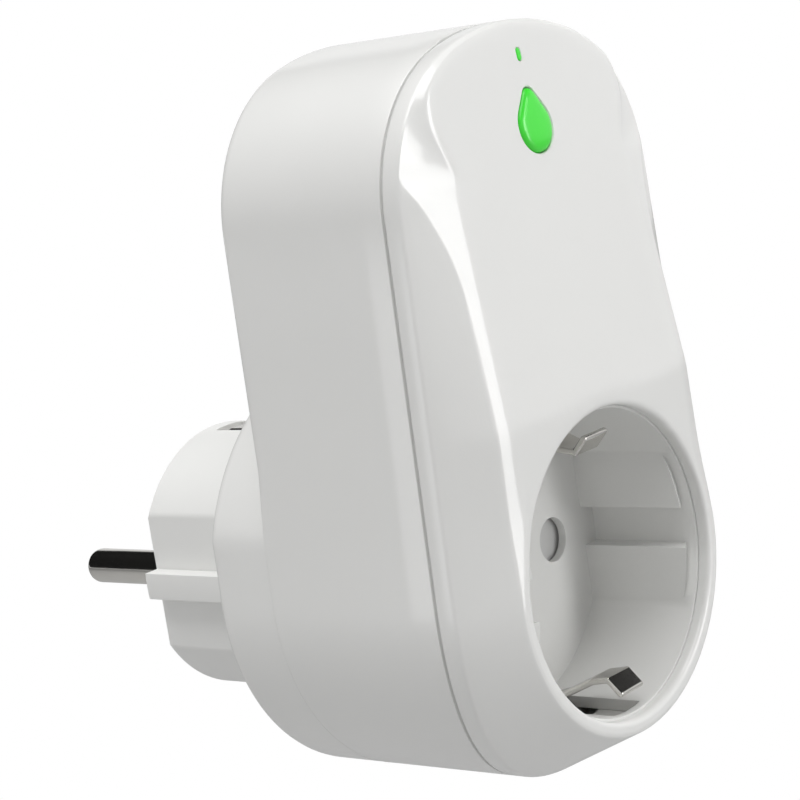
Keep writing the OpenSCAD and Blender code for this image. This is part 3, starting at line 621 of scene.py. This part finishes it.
def make_button():
    """Egg-shaped push button: a gently domed cap with rounded shoulders and a stem."""
    levels = [(-3.6, -0.47), (-2.2, -0.4), (-1.2, -0.3), (-0.5, -0.12), (-0.12, 0.12), (0.0, 0.4),
              (0.0, 2.15), (1.6, 2.15), (1.6, 2.85)]
    rings = panel_rings(lambda g: egg_points(BUTTON_W + g, BUTTON_H + g), levels, BUTTON_Z)
    return new_piece("button_cap", ring_mesh(rings))


smooth_by_angle(put(make_button(), "push_button", "button_green", MATERIALS["button_green"], "button"), 40)


def make_slit():
    """The indicator's light guide: a small slot-shaped window with a foot behind the panel."""
    levels = [(-0.25, -0.06), (0.0, 0.08), (0.0, 2.05), (1.2, 2.05), (1.2, 4.9)]
    rings = panel_rings(lambda g: slot_points(SLIT_W + g, SLIT_H + g), levels, BUTTON_Z + SLIT_RISE)
    return new_piece("indicator_slit", ring_mesh(rings))


slit_piece = put(make_slit(), "housing", "button_green", MATERIALS["button_green"], "indicator_light_guide")
smooth_by_angle(slit_piece, 40)


# ---------------------------------------------------------------- pins

def lathe(profile, x, sides=96):
    """Turns a profile of (radius, y) about a line along Y."""
    rings = []
    for r, y in profile:
        angles = [2 * math.pi * k / sides for k in range(sides)]
        rings.append([Vector((x + r * math.cos(a), y, r * math.sin(a))) for a in angles])
    return ring_mesh(rings)


def make_pin(x):
    """Round contact pin with a rounded tip, its collar and tail inside the plug."""
    tip = 1.6
    end = PIN_HIGH.y
    profile = [(1.5, PIN_LOW.y), (1.5, -16), (3.1, -16), (3.2, -15.9), (3.2, -14), (PIN_R - 0.1, -14),
               (PIN_R - 0.1, -0.05), (PIN_R, 0)]
    profile += [(PIN_R, 4), (PIN_R, 8), (PIN_R, 12)]
    profile += [(PIN_R - tip + tip * math.cos(a), end - tip + tip * math.sin(a))
                for a in (math.pi / 2 * k / 10 for k in range(11))]
    profile += [(0.3, end)]
    return new_piece("round_pin", lathe(profile, x))


for pin_name, side in (("live_pin", 1), ("neutral_pin", -1)):
    pin = smooth_by_angle(make_pin(side * PIN_PITCH / 2), 40)
    put(pin, "housing", "pin_plating", MATERIALS["pin_plating"], pin_name)


# ---------------------------------------------------------------- carried-over pieces

FINISHED = {"rear_shell", "front_cover", "button", "indicator_light_guide", "live_pin", "neutral_pin"}
ROUNDED = {"plug_body": 0.5, "socket_cup": 0.55, "upper_earth_strap": 0.3, "lower_earth_strap": 0.3}
SLOTS = {s["node"]: s["material_slot"] for s in frame["record"]["subparts"]}
BODY_OF = {n: body for body, members in frame["record"]["behaviour"]["bodies"].items() for n in members}

for node_name, width in ROUNDED.items():
    slot = SLOTS[node_name]
    put(from_cad(node_name, width), BODY_OF[node_name], slot, MATERIALS[slot], node_name)

for node_name, cad in frame["nodes"].items():
    if node_name in FINISHED or node_name in ROUNDED:
        continue
    cad.data.materials.clear()
    cad.data.materials.append(MATERIALS[SLOTS[node_name]])


# ---------------------------------------------------------------- stage, light and camera

WORLD_LEVEL = 0.42              # the studio's strength for diffuse light
FLOOR_Z = -260
FLOOR_HALF = 3000


def make_floor():
    """Grey paper far below, which the camera sees as white."""
    bm = bmesh.new()
    bmesh.ops.create_grid(bm, x_segments=1, y_segments=1, size=FLOOR_HALF)
    bmesh.ops.translate(bm, vec=(0, 0, FLOOR_Z), verts=bm.verts)
    floor = new_piece("floor", bm, False)
    material, tree, coords = start_material("pale_paper_floor")
    fibre = add_node(tree, "ShaderNodeTexNoise", {"Scale": 400.0, "Detail": 2.0}, {"Vector": coords})
    tone = add_node(tree, "ShaderNodeMix", {"data_type": "RGBA"}, {"Factor": fibre.outputs["Fac"]})
    tone.inputs[6].default_value = colour("B0B0B0")
    tone.inputs[7].default_value = colour("B8B8B8")
    paper = add_node(tree, "ShaderNodeBsdfDiffuse", {}, {"Color": tone.outputs[2]})
    glow = add_node(tree, "ShaderNodeEmission", {"Color": (1, 1, 1, 1), "Strength": 1.0})
    rays = add_node(tree, "ShaderNodeLightPath")
    mix = add_node(tree, "ShaderNodeMixShader", {}, {0: rays.outputs["Is Camera Ray"], 1: paper.outputs[0],
                                                     2: glow.outputs[0]})
    add_node(tree, "ShaderNodeOutputMaterial", {}, {"Surface": mix.outputs[0]})
    floor.data.materials.append(material)


def make_world():
    """A plain grey studio, seen as white by the camera, with a black card behind the pins and overhead."""
    world = bpy.data.worlds.new("studio")
    world.use_nodes = True
    bpy.context.scene.world = world
    tree = world.node_tree
    tree.nodes.clear()
    rays = add_node(tree, "ShaderNodeLightPath")
    direction = add_node(tree, "ShaderNodeTexCoord").outputs[0]
    way = add_node(tree, "ShaderNodeSeparateXYZ", {}, {"Vector": direction})

    def edge(axis, start, end):
        """Rises smoothly from 0 to 1 as the direction goes from one value to another along an axis."""
        return add_node(tree, "ShaderNodeMapRange", {"From Min": start, "From Max": end,
                                                     "interpolation_type": "SMOOTHSTEP"},
                        {"Value": way.outputs[axis]}).outputs[0]

    def join(operation, a, b):
        return add_node(tree, "ShaderNodeMath", {"operation": operation}, {0: a, 1: b}).outputs[0]

    rear = join("MULTIPLY", edge("Y", 0.25, 0.4), edge("Z", -0.06, -0.01))
    rear = join("MULTIPLY", rear, edge("X", 0.6, 0.4))
    card = join("MAXIMUM", rear, edge("Z", 0.35, 0.5))
    mirrored = add_node(tree, "ShaderNodeMapRange", {"To Min": 0.75, "To Max": 0.01}, {"Value": card})
    strength = add_node(tree, "ShaderNodeMix", {"data_type": "FLOAT"}, {0: rays.outputs["Is Glossy Ray"],
                                                                       3: mirrored.outputs[0]})
    strength.inputs[2].default_value = WORLD_LEVEL
    lit = add_node(tree, "ShaderNodeBackground", {"Color": (1, 1, 1, 1)}, {"Strength": strength.outputs[0]})
    seen = add_node(tree, "ShaderNodeBackground", {"Color": (1, 1, 1, 1), "Strength": 1.0})
    mix = add_node(tree, "ShaderNodeMixShader", {}, {0: rays.outputs["Is Camera Ray"], 1: lit.outputs[0],
                                                     2: seen.outputs[0]})
    add_node(tree, "ShaderNodeOutputWorld", {}, {"Surface": mix.outputs[0]})


def add_lamp(name, place, target, size, watts, diffuse=True, glossy=True):
    """A rectangular soft box aimed at a target; it can be kept out of the diffuse or the mirrored light."""
    data = bpy.data.lights.new(name, "AREA")
    data.shape = "RECTANGLE"
    data.size, data.size_y = size
    data.energy = watts
    lamp = bpy.data.objects.new(name, data)
    lamp.location = place
    lamp.rotation_euler = (Vector(target) - Vector(place)).to_track_quat("-Z", "Y").to_euler()
    lamp.visible_diffuse = diffuse
    lamp.visible_glossy = glossy
    bpy.context.scene.collection.objects.link(lamp)


def make_camera():
    """Three-quarter view from the front left, a little above, tipped so that the housing leans left."""
    azimuth, elevation, roll = (math.radians(v) for v in (49.85, 9.15, -8.89))
    distance, slide, rise = 326.5, 22.8, 21.1
    focal_share = 2324.9 / 800
    back = Vector((-math.sin(azimuth) * math.cos(elevation), -math.cos(azimuth) * math.cos(elevation),
                   math.sin(elevation)))
    level = (-back).cross(Vector((0, 0, 1))).normalized()
    upright = level.cross(-back)
    right = math.cos(roll) * level + math.sin(roll) * upright
    up = -math.sin(roll) * level + math.cos(roll) * upright
    place = (right * slide + up * rise + back * distance) * MM
    data = bpy.data.cameras.new("camera")
    data.sensor_width = 36.0
    data.lens = focal_share * data.sensor_width
    data.clip_start = 0.01
    camera = bpy.data.objects.new("camera", data)
    turn = Matrix((right, up, back)).transposed().to_4x4()
    camera.matrix_world = Matrix.Translation(place) @ turn
    bpy.context.scene.collection.objects.link(camera)
    bpy.context.scene.camera = camera


make_floor()
make_world()
add_lamp("front_strip", (0.36, -1.1, 0.14), (0, -0.06, 0.03), (0.22, 1.0), 4.7)
add_lamp("upper_strip", (0.19, -1.12, 0.3), (0, -0.06, 0.05), (0.18, 0.4), 1.6, diffuse=False)
add_lamp("right_fill", (1.0, -0.5, 0.4), (0, -0.06, 0.0), (0.5, 0.5), 2.8, glossy=False)
add_lamp("side_fill", (-1.0, 0.3, -0.2), (0, -0.04, 0.01), (0.7, 0.4), 2.0)
add_lamp("overhead", (-0.25, -0.05, 1.1), (0, -0.04, 0.02), (1.2, 0.9), 12)
make_camera()
bpy.context.scene.view_settings.view_transform = "Standard"

bpy.context.view_layer.update()
